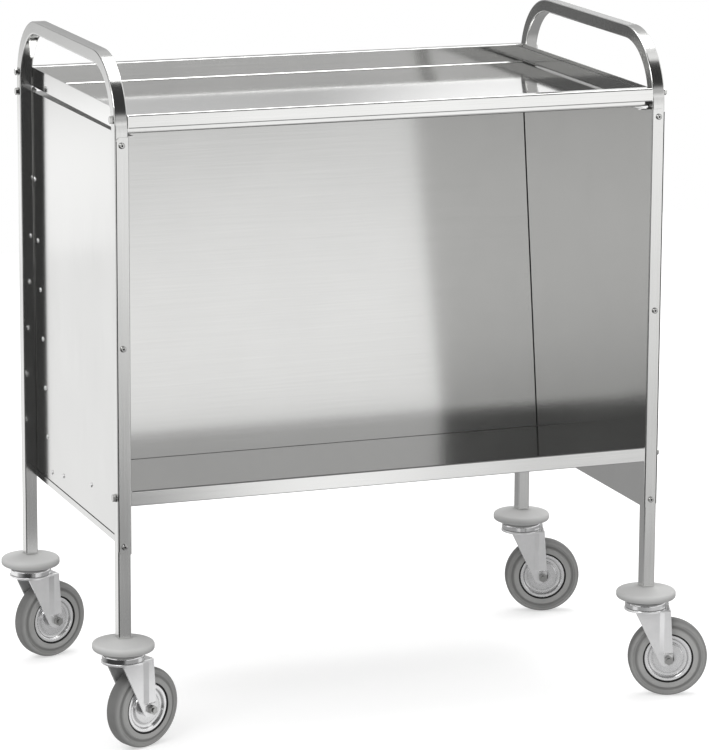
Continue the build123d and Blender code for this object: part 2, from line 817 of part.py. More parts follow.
# Rim: two pressed steel discs set back to back in the tyre
with BuildPart() as rim_discs:
    with BuildSketch(Plane.XY):
        with BuildLine():
            FilletPolyline(
                (tyre_bore_radius, rim_half_play),
                (tyre_bore_radius, rim_lip_half_width),
                (rim_lip_inner_radius, rim_lip_half_width),
                (rim_groove_radius + rim_groove_flat, rim_groove_half_width),
                (rim_groove_radius - rim_groove_flat, rim_groove_half_width),
                (rim_web_radius, rim_web_half_width),
                (hub_radius, rim_web_half_width),
                radius=rim_bend_radius,
            )
            offset(amount=rim_sheet, side=Side.LEFT, kind=Kind.INTERSECTION)
        make_face()
    revolve(axis=Axis.Y)
    mirror(about=Plane.XZ)


def ring(inner_radius, outer_radius, half_length):
    """Plain bush round the Y axis."""
    with BuildPart() as bush:
        with BuildSketch(Plane.XZ):
            Circle(outer_radius)
            Circle(inner_radius, mode=Mode.SUBTRACT)
        extrude(amount=half_length, both=True)
    return bush


# Hub bush: turns with the rim discs on the axle sleeve
hub_bush = ring(sleeve_radius + hub_play, hub_radius, fork_half_gap - thrust_play)

# Axle sleeve: clamped between the fork legs by the axle bolt
axle_sleeve = ring(axle_radius + axle_hole_play, sleeve_radius, fork_half_gap)

# Axle bolt, with its head outside one leg, and the nut outside the other
fork_outer = fork_half_gap + fork_sheet + flare_seed

with BuildPart() as axle_bolt:
    bolt_end = fork_outer + axle_nut_height + axle_spare_length
    with BuildSketch(Plane.XZ.offset(-fork_outer)):
        RegularPolygon(axle_nut_flats / 2, 6, major_radius=False, rotation=30)
    extrude(amount=-axle_head_height)
    with BuildSketch(Plane.XZ.offset(-fork_outer)):
        Circle(axle_radius)
    extrude(amount=fork_outer + bolt_end)

with BuildPart() as axle_nut:
    with BuildSketch(Plane.XZ.offset(fork_outer)):
        RegularPolygon(axle_nut_flats / 2, 6, major_radius=False, rotation=30)
        Circle(axle_radius, mode=Mode.SUBTRACT)
    extrude(amount=axle_nut_height)


# Castors: every piece is copied to its leg and turned to the castor's heading
swivel_pieces = (
    ("bumper", bumper),
    ("stem", stem),
    ("upper_race", upper_race),
    ("race_balls", race_balls),
    ("fork", fork),
)
axle_pieces = (
    ("tyre", tyre),
    ("rim_discs", rim_discs),
    ("hub_bush", hub_bush),
    ("axle_sleeve", axle_sleeve),
    ("axle_bolt", axle_bolt),
    ("axle_nut", axle_nut),
)
for corner, side_x, side_y, heading in castor_places:
    castor_place = Location((side_x * leg_x, side_y * leg_y, 0), (0, 0, heading))
    axle_place = castor_place * Location((fork_trail, 0, wheel_radius))
    for piece_name, piece in swivel_pieces:
        with BuildPart() as placed:
            with Locations(castor_place):
                add(piece.part)
        export_piece(placed.part, corner + "_" + piece_name)
    for piece_name, piece in axle_pieces:
        with BuildPart() as placed:
            with Locations(axle_place):
                add(piece.part)
        export_piece(placed.part, corner + "_" + piece_name)

with BuildPart() as leg_plugs:
    for _, side_x, side_y, _ in castor_places:
        with Locations((side_x * leg_x, side_y * leg_y, 0)):
            add(leg_plug.part)
export_piece(leg_plugs.part, "leg_plugs")
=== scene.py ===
import json
import math

import bpy
import numpy as np
from mathutils import Matrix, Vector


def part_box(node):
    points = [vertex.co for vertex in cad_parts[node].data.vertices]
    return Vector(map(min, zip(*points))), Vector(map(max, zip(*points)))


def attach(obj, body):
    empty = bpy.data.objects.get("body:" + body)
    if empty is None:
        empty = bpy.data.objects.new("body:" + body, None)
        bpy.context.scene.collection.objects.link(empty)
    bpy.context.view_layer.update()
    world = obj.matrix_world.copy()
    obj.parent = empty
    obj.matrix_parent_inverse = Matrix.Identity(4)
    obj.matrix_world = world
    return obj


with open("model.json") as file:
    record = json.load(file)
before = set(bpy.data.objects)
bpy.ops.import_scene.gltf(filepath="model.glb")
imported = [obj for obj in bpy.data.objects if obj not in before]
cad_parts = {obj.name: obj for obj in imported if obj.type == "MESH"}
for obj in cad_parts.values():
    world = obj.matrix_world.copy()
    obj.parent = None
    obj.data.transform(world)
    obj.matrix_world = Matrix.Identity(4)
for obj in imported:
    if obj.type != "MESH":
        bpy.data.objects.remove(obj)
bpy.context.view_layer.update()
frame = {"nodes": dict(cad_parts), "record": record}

# Hoops.
# Real pieces: two lengths of square stainless tube, each bent into an upside-down U: two legs and a handle.
# Bent cold and satin-ground. The grain is a stretched noise that moves roughness, tone and a very low bump.


def dress(names, material):
    """Gives every material slot of the named CAD pieces one material."""
    for name in names:
        for material_slot in frame["nodes"][name].material_slots:
            material_slot.material = material


def colour_ramp(nodes, stops):
    """Colour ramp through the stops, each a position from 0 to 1 and a colour of three numbers."""
    ramp = nodes.new("ShaderNodeValToRGB")
    elements = ramp.color_ramp.elements
    while len(elements) < len(stops):
        elements.new(0.5)
    for element, (position, colour) in zip(elements, stops):
        element.position = position
        element.color = (*colour, 1)
    return ramp


def rough_between(nodes, links, source, low, high):
    """Map of a noise to roughness: low at the map's lower end, high at its upper end."""
    rough = nodes.new("ShaderNodeMapRange")
    rough.inputs["To Min"].default_value = low
    rough.inputs["To Max"].default_value = high
    links.new(source, rough.inputs["Value"])
    links.new(rough.outputs[0], nodes["Principled BSDF"].inputs["Roughness"])
    return rough


def low_bump(nodes, links, source, strength, depth):
    """Bump of a noise on the shader's normal, depth in metres."""
    bump = nodes.new("ShaderNodeBump")
    bump.inputs["Strength"].default_value = strength
    bump.inputs["Distance"].default_value = depth
    links.new(source, bump.inputs["Height"])
    links.new(bump.outputs["Normal"], nodes["Principled BSDF"].inputs["Normal"])


def noise_of(nodes, links, coordinates, scale, detail):
    """Noise texture read at the given coordinates."""
    noise = nodes.new("ShaderNodeTexNoise")
    noise.inputs["Scale"].default_value = scale
    noise.inputs["Detail"].default_value = detail
    links.new(coordinates, noise.inputs["Vector"])
    return noise


def ground_metal(name, tone, roughness, grain, cloud=0.035, groove=0.05, metallic=1.0):
    """Metal with a grain: noise stretched by the three numbers of grain, mixed 0.6 to 0.4 with soft clouds.
    cloud is how far the mix moves the roughness, groove is the strength of the grain's bump."""
    material = bpy.data.materials.new(name)
    material.use_nodes = True
    nodes, links = material.node_tree.nodes, material.node_tree.links
    shader = nodes["Principled BSDF"]
    shader.inputs["Metallic"].default_value = metallic
    place = nodes.new("ShaderNodeTexCoord")
    stretch = nodes.new("ShaderNodeMapping")
    stretch.inputs["Scale"].default_value = grain
    links.new(place.outputs["Object"], stretch.inputs["Vector"])
    lines = noise_of(nodes, links, stretch.outputs["Vector"], scale=1.0, detail=4.0)
    lines.inputs["Roughness"].default_value = 0.65
    clouds = noise_of(nodes, links, place.outputs["Object"], scale=7.0, detail=3.0)
    both = nodes.new("ShaderNodeMath")
    both.operation = "MULTIPLY_ADD"
    both.inputs[1].default_value = 0.6
    links.new(lines.outputs["Fac"], both.inputs[0])
    part = nodes.new("ShaderNodeMath")
    part.operation = "MULTIPLY"
    part.inputs[1].default_value = 0.4
    links.new(clouds.outputs["Fac"], part.inputs[0])
    links.new(part.outputs[0], both.inputs[2])
    mix_low, mix_high = 0.3, 0.7
    rough = rough_between(nodes, links, both.outputs[0], roughness - cloud, roughness + cloud)
    rough.inputs["From Min"].default_value = mix_low
    rough.inputs["From Max"].default_value = mix_high
    dark_tone = [0.93 * value for value in tone]
    light_tone = [min(1.0, 1.05 * value) for value in tone]
    ramp = colour_ramp(nodes, ((mix_low, dark_tone), (mix_high, light_tone)))
    links.new(both.outputs[0], ramp.inputs["Fac"])
    links.new(ramp.outputs["Color"], shader.inputs["Base Color"])
    low_bump(nodes, links, lines.outputs["Fac"], groove, 0.0002)
    return material


steel_tone = (0.72, 0.72, 0.71)
upright_grain = (900, 900, 6)
tube_metal = ground_metal("tube_ground", steel_tone, 0.14, upright_grain, cloud=0.02, groove=0.012)
dress(["left_hoop", "right_hoop"], tube_metal)

# Top tray.
# Real piece: one folded stainless sheet, ground on its upper side, with a rougher mill finish underneath
# that is painted dark as shade under the tray.
# Made on a press brake. The inner radius at the foot of each end wall catches a bright line of light.


def object_axes(nodes, links):
    """Separate node with the X, Y and Z of the Object coordinates."""
    place = nodes.new("ShaderNodeTexCoord")
    split = nodes.new("ShaderNodeSeparateXYZ")
    links.new(place.outputs["Object"], split.inputs[0])
    return split


def mill_and_shade_below(material, height, tone, roughness):
    """Below a height: a rougher surface for the mill finish, in a darker tone of painted shade, takes the
    place of the ground one.
    """
    nodes, links = material.node_tree.nodes, material.node_tree.links
    shader = nodes["Principled BSDF"]
    under = nodes.new("ShaderNodeMath")
    under.operation = "LESS_THAN"
    under.inputs[1].default_value = height
    links.new(object_axes(nodes, links).outputs["Z"], under.inputs[0])
    colour = nodes.new("ShaderNodeMix")
    colour.data_type = "RGBA"
    links.new(under.outputs[0], colour.inputs["Factor"])
    links.new(shader.inputs["Base Color"].links[0].from_socket, colour.inputs[6])
    colour.inputs[7].default_value = (*tone, 1)
    links.new(colour.outputs[2], shader.inputs["Base Color"])
    rough = nodes.new("ShaderNodeMix")
    links.new(under.outputs[0], rough.inputs[0])
    links.new(shader.inputs["Roughness"].links[0].from_socket, rough.inputs[2])
    rough.inputs[3].default_value = roughness
    links.new(rough.outputs[0], shader.inputs["Roughness"])


def surface(name, grids, material):
    """Mesh object of quad grids. Each grid is an array of points (rows, columns, xyz), joined row to row."""
    points, faces, start = [], [], 0
    for grid in grids:
        rows, columns = grid.shape[:2]
        number = start + np.arange(rows * columns).reshape(rows, columns)
        quads = (number[:-1, :-1], number[:-1, 1:], number[1:, 1:], number[1:, :-1])
        faces.append(np.stack(quads, axis=-1).reshape(-1, 4))
        points.append(grid.reshape(-1, 3))
        start += rows * columns
    mesh = bpy.data.meshes.new(name)
    mesh.from_pydata(np.concatenate(points).tolist(), [], np.concatenate(faces).tolist())
    mesh.materials.append(material)
    mesh.polygons.foreach_set("use_smooth", [True] * len(mesh.polygons))
    piece = bpy.data.objects.new(name, mesh)
    bpy.context.scene.collection.objects.link(piece)
    return piece


def swept(profile, run):
    """Grid of a profile (points, xyz) carried along a straight run to both sides:
    point = profile + share * run, with the share -1 in the first row and 1 in the second."""
    share = np.array([-1.0, 1.0])[:, None, None]
    return profile[None, :, :] + share * run


level_grain = (6, 900, 900)
tray_tone = (0.74, 0.74, 0.73)
# Dark tone of the tray's underside: painted shade under the tray.
underside_shade_tone = (0.32, 0.32, 0.32)
tray_metal = ground_metal("tray_ground", tray_tone, 0.08, level_grain, cloud=0.012, groove=0.008)
dress(["top_tray"], tray_metal)
tray_low, tray_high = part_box("top_tray")
underside_skin = 0.0004
# The underside's dark tone is painted shade under the tray; its roughness is the mill finish.
mill_and_shade_below(tray_metal, tray_low[2] + underside_skin, underside_shade_tone, 0.45)
sheet = 0.0012
inner_leg_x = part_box("right_hoop")[0][0]
panel_x = inner_leg_x - sheet
fold_radius = 0.0028
fold_half_run = np.array([0.0, 0.2465, 0.0])
fold_turn = np.radians(np.linspace(-90, 0, 9))
tray_folds = []
for side in (-1, 1):
    fold_x = side * (panel_x - sheet - fold_radius + fold_radius * np.cos(fold_turn))
    fold_z = tray_low[2] + sheet + fold_radius + fold_radius * np.sin(fold_turn)
    fold_profile = np.stack([fold_x, np.zeros_like(fold_x), fold_z], axis=-1)
    tray_folds.append(swept(fold_profile[::side], fold_half_run))
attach(surface("tray_end_folds", tray_folds, tray_metal), "trolley")

# Shelf, back and side panels.
# Real pieces: folded stainless sheets, shelf and back riveted together, the sides wrapped round the legs.
# The grain runs along the shelf and across the back, and upright on the side panels.
# The shelf's tone is lighter than the other sheets' as painted light: the same steel, brightened to mirror
# more light.
shelf_lit_tone = (0.83, 0.83, 0.82)
shelf_metal = ground_metal("shelf_ground", shelf_lit_tone, 0.12, level_grain, cloud=0.012, groove=0.01)
back_metal = ground_metal("back_ground", steel_tone, 0.13, level_grain, cloud=0.012, groove=0.006)
side_metal = ground_metal("side_ground", steel_tone, 0.13, upright_grain, cloud=0.012, groove=0.01)
dress(["bottom_shelf"], shelf_metal)
dress(["back_panel"], back_metal)
dress(["left_side_panel", "right_side_panel"], side_metal)

# Bolts, screws, washers, nuts and rivets.
# Real pieces: turned and cold-headed stainless fasteners, and blind rivets with brighter domed heads.
# The threaded inserts and the plugs in the leg ends are zinc plated and stay inside the tubes.
fastener_tone, rivet_tone, plated_tone = (0.52, 0.52, 0.51), (0.80, 0.80, 0.80), (0.58, 0.59, 0.60)
fastener_metal = ground_metal("fastener_turned", fastener_tone, 0.12, (300, 300, 300), groove=0.02)
rivet_metal = ground_metal("rivet_bright", rivet_tone, 0.28, (250, 250, 250), groove=0.04)
plated_metal = ground_metal("plated_plain", plated_tone, 0.33, (200, 200, 200), groove=0.06)
dress(["hex_bolts", "hex_washers", "hex_nuts", "flange_screws"], fastener_metal)
dress(["side_rivets", "shelf_rear_rivets"], rivet_metal)
dress(["leg_inserts", "leg_plugs"], plated_metal)

# Castor forks, races and axles.
# Real pieces: pressed steel forks and race rings, bright zinc plated, with turned stems, sleeves and bolts.
# The plate has a faint cloudy grain. The polished balls run between the fork's crown and the upper race.
corners = ("front_left", "rear_left", "rear_right", "front_right")
zinc_grain = (60, 60, 60)
zinc_tone, race_tone, ball_tone = (0.90, 0.90, 0.905), (0.84, 0.84, 0.845), (0.68, 0.68, 0.68)
pressed_zinc = {"grain": zinc_grain, "cloud": 0.05, "groove": 0.015}
fork_metal = ground_metal("fork_zinc_plate", zinc_tone, 0.17, metallic=0.72, **pressed_zinc)
race_metal = ground_metal("race_zinc_plate", race_tone, 0.12, zinc_grain, cloud=0.03, groove=0.008)
ball_metal = ground_metal("ball_polished", ball_tone, 0.10, (200, 200, 200), cloud=0.02, groove=0.01)
for corner in corners:
    dress([corner + "_fork"], fork_metal)
    dress([corner + "_upper_race"], race_metal)
    dress([corner + "_axle_bolt", corner + "_axle_nut"], fastener_metal)
    dress([corner + "_stem", corner + "_axle_sleeve"], plated_metal)
    dress([corner + "_race_balls"], ball_metal)

# Bumper discs.
# Real pieces: discs of soft grey rubber between each leg's foot and its castor, to keep off walls.
# Moulded, with a fine even texture. The lower half is painted darker, as shade on the side that faces down.


def plain_rubber(name, tone, roughness, spread, grain_size, relief):
    """Rubber or plastic: a broad noise moves the tone by the spread, a fine one roughness and a low bump."""
    material = bpy.data.materials.new(name)
    material.use_nodes = True
    nodes, links = material.node_tree.nodes, material.node_tree.links
    shader = nodes["Principled BSDF"]
    shader.inputs["Specular IOR Level"].default_value = 0.35
    place = nodes.new("ShaderNodeTexCoord")
    fine = noise_of(nodes, links, place.outputs["Object"], scale=grain_size, detail=5.0)
    broad = noise_of(nodes, links, place.outputs["Object"], scale=22.0, detail=4.0)
    dark_tone = [(1 - spread) * value for value in tone]
    light_tone = [(1 + spread) * value for value in tone]
    ramp = colour_ramp(nodes, ((0.35, dark_tone), (0.65, light_tone)))
    links.new(broad.outputs["Fac"], ramp.inputs["Fac"])
    links.new(ramp.outputs["Color"], shader.inputs["Base Color"])
    rough_between(nodes, links, fine.outputs["Fac"], roughness - 0.08, roughness + 0.08)
    low_bump(nodes, links, fine.outputs["Fac"], relief, 0.0003)
    return material


def share_between(nodes, links, source, low, high):
    """Share from 0 to 1 of a value between low and high."""
    share = nodes.new("ShaderNodeMapRange")
    share.inputs["From Min"].default_value = low
    share.inputs["From Max"].default_value = high
    links.new(source, share.inputs["Value"])
    return share.outputs[0]


def tint_by(nodes, links, share, stops, strength):
    """Shader's colour times a grey ramp over a share, times a strength. Stops are (share, grey level)."""
    base_colour = nodes["Principled BSDF"].inputs["Base Color"]
    ramp = colour_ramp(nodes, [(position, (level,) * 3) for position, level in stops])
    links.new(share, ramp.inputs["Fac"])
    tint = nodes.new("ShaderNodeVectorMath")
    tint.operation = "MULTIPLY"
    links.new(base_colour.links[0].from_socket, tint.inputs[0])
    links.new(ramp.outputs["Color"], tint.inputs[1])
    full = nodes.new("ShaderNodeVectorMath")
    full.operation = "SCALE"
    full.inputs["Scale"].default_value = strength
    links.new(tint.outputs["Vector"], full.inputs[0])
    links.new(full.outputs["Vector"], base_colour)


def shade_by_height(material, low, high, levels):
    """Painted shade on the lower part: tone times a level, given for shares of the height."""
    nodes, links = material.node_tree.nodes, material.node_tree.links
    share = share_between(nodes, links, object_axes(nodes, links).outputs["Z"], low, high)
    tint_by(nodes, links, share, levels, 1.0)


bumper_tone = (0.51, 0.51, 0.505)
# Levels of painted shade: darker towards the bottom of the disc.
bumper_shade_levels = ((0.0, 0.55), (0.35, 0.6), (0.55, 0.86), (0.7, 0.96), (1.0, 0.9))
bumper_low, bumper_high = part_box("front_left_bumper")
bumper_rubber = plain_rubber("bumper_rubber", bumper_tone, 0.55, 0.03, 700.0, 0.12)
shade_by_height(bumper_rubber, bumper_low[2], bumper_high[2], bumper_shade_levels)
dress([corner + "_bumper" for corner in corners], bumper_rubber)

# Wheels.
# Real pieces: solid grey rubber tyres on pairs of pressed, zinc plated rim discs, with black hub bushes.
# Rings of painted shade and painted highlight follow the moulded steps of the tyre and the pressed steps of
# the rim.
record_joints = {joint["name"]: joint for joint in frame["record"]["behaviour"]["joints"]}


def light_and_shade_by_ring(material, corner, rings):
    """Painted shade and highlight in rings round the axle: tone times a level, given for distances in metres
    from the axle line.
    Levels go above 1, so the ramp holds half of each and the tint is doubled after it."""
    nodes, links = material.node_tree.nodes, material.node_tree.links
    axle_joint = record_joints[corner + "_axle"]
    place = nodes.new("ShaderNodeTexCoord")
    arm = nodes.new("ShaderNodeVectorMath")
    arm.operation = "SUBTRACT"
    arm.inputs[1].default_value = axle_joint["pos_m"]
    links.new(place.outputs["Object"], arm.inputs[0])
    across_axle = nodes.new("ShaderNodeVectorMath")
    across_axle.operation = "CROSS_PRODUCT"
    across_axle.inputs[1].default_value = axle_joint["axis"]
    links.new(arm.outputs["Vector"], across_axle.inputs[0])
    distance = nodes.new("ShaderNodeVectorMath")
    distance.operation = "LENGTH"
    links.new(across_axle.outputs["Vector"], distance.inputs[0])
    first_radius, last_radius = rings[0][0], rings[-1][0]
    share = share_between(nodes, links, distance.outputs["Value"], first_radius, last_radius)
    width = last_radius - first_radius
    stops = [((radius - first_radius) / width, 0.5 * level) for radius, level in rings]
    tint_by(nodes, links, share, stops, 2.0)


tyre_tone, hub_tone = (0.25, 0.25, 0.245), (0.03, 0.03, 0.03)
# Painted shade in the tyre's cove and at its shoulder, and painted highlight on its flat sides.
tyre_side_shading = ((0.0400, 1.18), (0.0482, 1.14), (0.0498, 0.66), (0.0520, 0.64), (0.0538, 1.02))
tyre_shoulder_shade = ((0.0585, 0.92), (0.0620, 0.55))
# Painted shade and painted highlight in rings on the rim's pressed steps.
rim_dish_shading = ((0.0090, 0.7), (0.0140, 0.95), (0.0260, 0.88), (0.0285, 1.06), (0.0298, 1.04))
rim_lip_shading = ((0.0310, 0.62), (0.0324, 0.98), (0.0360, 1.08), (0.0385, 0.8))
hub_plastic = plain_rubber("hub_plastic", hub_tone, 0.45, 0.10, 600.0, 0.10)
for corner in corners:
    rim_metal = ground_metal(corner + "_rim_zinc_plate", zinc_tone, 0.16, metallic=0.8, **pressed_zinc)
    light_and_shade_by_ring(rim_metal, corner, rim_dish_shading + rim_lip_shading)
    dress([corner + "_rim_discs"], rim_metal)
    tyre_rubber = plain_rubber(corner + "_tyre_rubber", tyre_tone, 0.45, 0.06, 900.0, 0.15)
    light_and_shade_by_ring(tyre_rubber, corner, tyre_side_shading + tyre_shoulder_shade)
    dress([corner + "_tyre"], tyre_rubber)
    dress([corner + "_hub_bush"], hub_plastic)

# Joint rings between tyre and rim.
# Real piece: the groove where the rim's lips sit in the rubber, on both sides of a wheel, which lies in
# shade.
# Drawn as a slim round black ring of painted shadow that lies in the groove and turns with the wheel.
# Near-black material of painted shadow, for the grooves, joints and sockets.
groove_shadow_black = plain_rubber("groove_shadow_black", (0.012, 0.012, 0.012), 0.75, 0.20, 500.0, 0.20)
ring_radius, ring_thickness, ring_half_width = 0.0389, 0.0011, 0.0131


def joint_ring(centre, axle, face):
    """Torus round the axle, with ring radius R, thickness r, turn w round the axle, turn v round the ring:
    point = centre + (R + r cos v) (level cos w + upward sin w) + (face + r sin v) axle."""
    ring_turn, axle_turn = np.linspace(0, 2 * np.pi, 9), np.linspace(2 * np.pi, 0, 97)
    v, w = np.meshgrid(ring_turn, axle_turn, indexing="ij")
    upward = np.array([0.0, 0.0, 1.0])
    level = np.cross(axle, upward)
    outward = np.cos(w)[..., None] * level + np.sin(w)[..., None] * upward
    radial = (ring_radius + ring_thickness * np.cos(v))[..., None] * outward
    along_axle = (face + ring_thickness * np.sin(v))[..., None] * axle
    return centre + radial + along_axle


for corner in corners:
    axle_joint = record_joints[corner + "_axle"]
    axle_centre = np.array(axle_joint["pos_m"])
    axle_line = np.array(axle_joint["axis"], dtype=float)
    rings = [joint_ring(axle_centre, axle_line, side * ring_half_width) for side in (-1, 1)]
    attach(surface(corner + "_joint_rings", rings, groove_shadow_black), corner + "_wheel")

# Grooves at the panels' folds.
# Real pieces: the grooves where back and shelf meet the sides, and the sides' hems and free edges, all in
# shade.
# Each is a narrow strip lying just on the sheet, with the groove's shadow painted as its colour.
plate_tilt = math.radians(8.3)
shelf_low, shelf_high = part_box("bottom_shelf")
front_y, front_z = shelf_low[1], shelf_high[2]
back_setback = 0.0145
back_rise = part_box("back_panel")[1][2] - front_z
shelf_depth = (-2 * front_y - back_setback) * math.cos(plate_tilt)
shelf_length = shelf_depth - back_rise * math.sin(plate_tilt)
back_length = back_rise / math.cos(plate_tilt) + shelf_length * math.tan(plate_tilt)
sideways = np.array([1.0, 0.0, 0.0])
forwards = np.array([0.0, -1.0, 0.0])
upwards = np.array([0.0, 0.0, 1.0])
along_shelf = np.array([0.0, -math.cos(plate_tilt), math.sin(plate_tilt)])
up_back = np.array([0.0, math.sin(plate_tilt), math.cos(plate_tilt)])
plate_corner = np.array([0.0, front_y, front_z]) - shelf_length * along_shelf


def strip(start, end, facing, width):
    """Flat band: point = start + t run + s width across. The run is end - start, across is square to it and
    to the direction the band faces, t goes from 0 to 1 and s from -0.5 to 0.5."""
    run = end - start
    across = np.cross(run / np.linalg.norm(run), facing)
    t, s = np.meshgrid(np.linspace(0, 1, 2), np.linspace(-0.5, 0.5, 2), indexing="ij")
    return start + t[..., None] * run + width * s[..., None] * across


def centred_strip(centre, half_run, facing, width):
    """Strip that reaches half_run to both sides of its centre."""
    return strip(centre - half_run, centre + half_run, facing, width)


panel_low, panel_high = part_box("right_side_panel")
groove_width, groove_lift, line_lift = 0.0012, 0.0002, 0.0001
back_head_gap, shelf_front_gap = 0.004, 0.003
hem_height, hem_line_width = 0.0103, 0.0011
hem_half_run = np.array([0.0, 0.2440, 0.0])
free_edge_inset, free_edge_width, flange_chamfer = 0.0008, 0.0015, 0.005
flange_x = panel_high[0] - free_edge_inset
flange_foot = (panel_low[2] + flange_chamfer) * upwards
flange_head = (panel_high[2] - flange_chamfer) * upwards
grooves = []
for side in (-1, 1):
    beside = side * (panel_x - groove_width / 2) * sideways
    on_back = plate_corner + beside + groove_lift * along_shelf
    back_run = (back_length - back_head_gap) * up_back
    grooves.append(strip(on_back, on_back + back_run, along_shelf, groove_width))
    on_shelf = plate_corner + beside + groove_lift * up_back
    shelf_run = (shelf_length - shelf_front_gap) * along_shelf
    grooves.append(strip(on_shelf, on_shelf + shelf_run, up_back, 0.6 * groove_width))
    hem_top = side * (panel_x + sheet + line_lift) * sideways + (panel_low[2] + hem_height) * upwards
    grooves.append(centred_strip(hem_top, hem_half_run, side * sideways, hem_line_width))
    for facing in (forwards, -forwards):
        free_edge = side * flange_x * sideways + (panel_high[1] + line_lift) * facing
        grooves.append(strip(free_edge + flange_foot, free_edge + flange_head, facing, free_edge_width))
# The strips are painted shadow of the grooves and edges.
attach(surface("fold_grooves", grooves, groove_shadow_black), "trolley")

# Edge lines of the tray and the shelf.
# Real pieces: the cut edge and bend of the tray's rim, the end walls' hems, the shelf's bends and seam.
# Each is a narrow grey strip lying just on the sheet, painted shade along its edge, bend or seam, darker
# than the ground faces beside it.
# Grey of painted shade along the edges, bends and seam.
edge_shade_grey = ground_metal("edge_shade_grey", (0.30, 0.30, 0.30), 0.35, level_grain)
rim_foot_drop, rim_foot_width = 0.0193, 0.0013
rim_bend_rise, rim_bend_width = 0.0172, 0.0007
wall_hem_drop, wall_hem_width = 0.0056, 0.0010
wall_half_run = np.array([0.0, 0.2450, 0.0])
shelf_flange, lip_inset, lip_width = 0.0227, 0.0005, 0.0009
seam_offset, seam_width = 0.0006, 0.0004
rim_half_run = panel_x * sideways
rim_foot = np.array([0.0, tray_low[1] - line_lift, tray_high[2] - rim_foot_drop])
rim_bend = rim_foot + rim_bend_rise * upwards
edges = [centred_strip(rim_foot, rim_half_run, forwards, rim_foot_width)]
edges.append(centred_strip(rim_bend, rim_half_run, forwards, rim_bend_width))
for side in (-1, 1):
    wall_hem = side * (panel_x - sheet - line_lift) * sideways + (tray_high[2] - wall_hem_drop) * upwards
    edges.append(centred_strip(wall_hem, wall_half_run, -side * sideways, wall_hem_width))
seam = plate_corner + seam_offset * (along_shelf + up_back)
seam_facing = (along_shelf + up_back) / math.sqrt(2)
edges.append(centred_strip(seam, rim_half_run, seam_facing, seam_width))
lip_half_run = (panel_x - sheet) * sideways
for lip_height in (front_z - lip_inset, front_z - shelf_flange + lip_inset):
    lip = np.array([0.0, front_y - line_lift, lip_height])
    edges.append(centred_strip(lip, lip_half_run, forwards, lip_width))
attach(surface("edge_shade_lines", edges, edge_shade_grey), "trolley")

# Screw sockets.
# Real pieces: the hexagon sockets of the ten button-head screws in the folded flanges, dark inside.
# Each is a small six-sided plate of shadow lying in the mouth of the socket.
screw_low, screw_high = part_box("flange_screws")
leg_x = (inner_leg_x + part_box("right_hoop")[1][0]) / 2
screw_radius, socket_radius, socket_sink = 0.00475, 0.0019, 0.00002
middle_screw_rise = 0.3143
low_z, high_z = screw_low[2] + screw_radius, screw_high[2] - screw_radius
middle_z = panel_low[2] + middle_screw_rise
socket_turn = np.radians(np.linspace(0, 360, 7))
sockets = []
for x in (-leg_x, leg_x):
    for side, z in ((-1, low_z), (-1, middle_z), (-1, high_z), (1, low_z), (1, middle_z)):
        mouth = np.array([x, side * (screw_high[1] - socket_sink), z])
        rim = np.stack([np.cos(socket_turn), np.zeros(7), side * np.sin(socket_turn)], axis=-1)
        sockets.append(np.stack([np.broadcast_to(mouth, rim.shape), mouth + socket_radius * rim]))
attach(surface("screw_sockets", sockets, groove_shadow_black), "trolley")

# Studio floor.
# A plain pale floor with a soft glow of its own. The camera and the matt pieces see it evenly lit.
# The steel mirrors grey zones of it instead: a dark one at the front left and brighter ones round it.


def fade_along(nodes, links, split, axis, outer, inner):
    """0 at the outer place and 1 at the inner place along one axis of the floor, smooth between."""
    fade = nodes.new("ShaderNodeMapRange")
    fade.interpolation_type = "SMOOTHSTEP"
    fade.inputs["From Min"].default_value = min(outer, inner)
    fade.inputs["From Max"].default_value = max(outer, inner)
    fade.inputs["To Min"].default_value = 0.0 if outer < inner else 1.0
    fade.inputs["To Max"].default_value = 1.0 if outer < inner else 0.0
    links.new(split.outputs[axis], fade.inputs["Value"])
    return fade.outputs[0]


def mirrored_floor(paint, base, zones):
    """What the steel mirrors of the floor: a base level, changed zone by zone.
    A zone is a level and its fades, each (axis, place where it ends, place where it is full)."""
    nodes, links = paint.node_tree.nodes, paint.node_tree.links
    split = object_axes(nodes, links)
    level = nodes.new("ShaderNodeValue")
    level.outputs[0].default_value = base
    current = level.outputs[0]
    for zone_level, fades in zones:
        share = None
        for axis, outer, inner in fades:
            fade = fade_along(nodes, links, split, axis, outer, inner)
            if share is not None:
                both = nodes.new("ShaderNodeMath")
                both.operation = "MULTIPLY"
                links.new(share, both.inputs[0])
                links.new(fade, both.inputs[1])
                fade = both.outputs[0]
            share = fade
        mix = nodes.new("ShaderNodeMix")
        links.new(share, mix.inputs[0])
        links.new(current, mix.inputs[2])
        mix.inputs[3].default_value = zone_level
        current = mix.outputs[0]
    glow = nodes.new("ShaderNodeEmission")
    links.new(current, glow.inputs["Strength"])
    path = nodes.new("ShaderNodeLightPath")
    pick = nodes.new("ShaderNodeMixShader")
    links.new(path.outputs["Is Glossy Ray"], pick.inputs[0])
    links.new(nodes["Principled BSDF"].outputs[0], pick.inputs[1])
    links.new(glow.outputs[0], pick.inputs[2])
    links.new(pick.outputs[0], nodes["Material Output"].inputs["Surface"])


